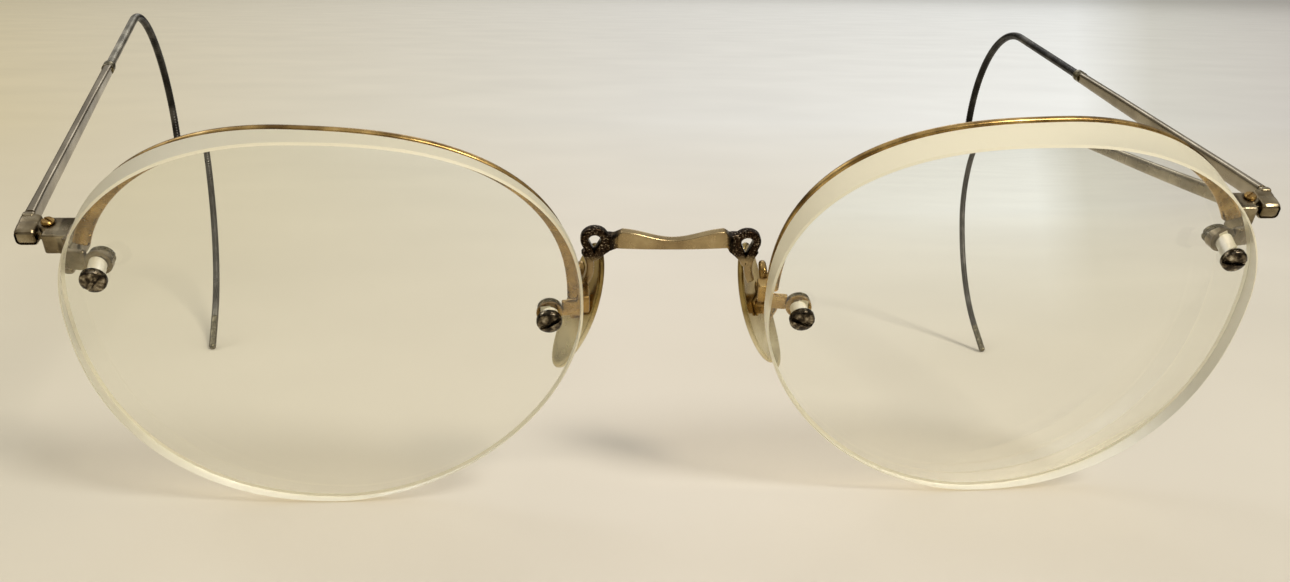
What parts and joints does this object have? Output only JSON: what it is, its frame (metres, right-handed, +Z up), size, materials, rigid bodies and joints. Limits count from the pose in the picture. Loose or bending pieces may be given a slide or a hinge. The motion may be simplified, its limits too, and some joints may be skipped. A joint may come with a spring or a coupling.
{
  "type": "eyeglasses",
  "caption": "Antique rimless-edged glasses: drilled glass lenses on screws, thin brow wires behind the top edges, gold bridge, metal nose pads and folding cable temples",
  "frame": {"origin": "middle of the bounding box at table height, with the glasses resting on the lower lens edges and the cable tips", "axes": "+X to the wearer's left, +Y back towards the ears, +Z up; the lens plane leans back from its foot by 26.4 degrees"},
  "size_m": [0.1273, 0.102, 0.0464],
  "materials": {
    "lens_glass": "clear ground glass with a frosted, bevelled edge",
    "gold_filled": "worn rosy gold-filled metal, polished",
    "shaft_gold": "worn tan gold-filled wire, rolled flat",
    "pad_gold": "polished gold-filled pad, brushed on its back",
    "aged_steel": "darkened, aged screw steel",
    "pin_metal": "turned pin, slightly worn",
    "cable_steel": "dark, close-wound cable with a solid tip"
  },
  "bodies": {
    "front": {"lens_right": "lens_glass", "lens_left": "lens_glass", "bridge": "gold_filled", "brow_wire_right": "gold_filled", "brow_wire_left": "gold_filled", "nasal_strap_right": "gold_filled", "nasal_strap_left": "gold_filled", "endpiece_right": "gold_filled", "endpiece_left": "gold_filled", "lens_screw_nasal_right": "aged_steel", "lens_screw_temporal_right": "aged_steel", "lens_screw_nasal_left": "aged_steel", "lens_screw_temporal_left": "aged_steel", "lens_nut_nasal_right": "aged_steel", "lens_nut_temporal_right": "aged_steel", "lens_nut_nasal_left": "aged_steel", "lens_nut_temporal_left": "aged_steel", "guard_arm_right": "gold_filled", "guard_arm_left": "gold_filled", "hinge_screw_right": "pin_metal", "hinge_screw_left": "pin_metal"},
    "temple_right": {"temple_butt_right": "gold_filled", "temple_shaft_right": "shaft_gold", "ferrule_right": "cable_steel", "cable_right": "cable_steel", "cable_tip_right": "cable_steel"},
    "pad_right": {"nose_pad_right": "pad_gold", "pad_box_right": "gold_filled", "pad_pin_right": "pin_metal"},
    "temple_left": {"temple_butt_left": "gold_filled", "temple_shaft_left": "shaft_gold", "ferrule_left": "cable_steel", "cable_left": "cable_steel", "cable_tip_left": "cable_steel"},
    "pad_left": {"nose_pad_left": "pad_gold", "pad_box_left": "gold_filled", "pad_pin_left": "pin_metal"}
  },
  "joints": [
    {"name": "fold_right", "type": "hinge", "parent": "front", "child": "temple_right", "pos_m": [-0.05115, -0.03795, 0.02903], "axis": [0, 0.4446, -0.8957], "range_deg": [0, 88]},
    {"name": "fold_left", "type": "hinge", "parent": "front", "child": "temple_left", "pos_m": [0.06045, -0.03919, 0.03153], "axis": [0, -0.4446, 0.8957], "range_deg": [0, 85]},
    {"name": "rock_right", "type": "hinge", "parent": "front", "child": "pad_right", "pos_m": [-0.00415, -0.03549, 0.02131], "axis": [-0.4384, 0.8051, 0.3996], "range_deg": [-8, 8]},
    {"name": "rock_left", "type": "hinge", "parent": "front", "child": "pad_left", "pos_m": [0.01485, -0.03549, 0.02131], "axis": [0.4384, 0.8051, 0.3996], "range_deg": [-8, 8]}
  ]
}
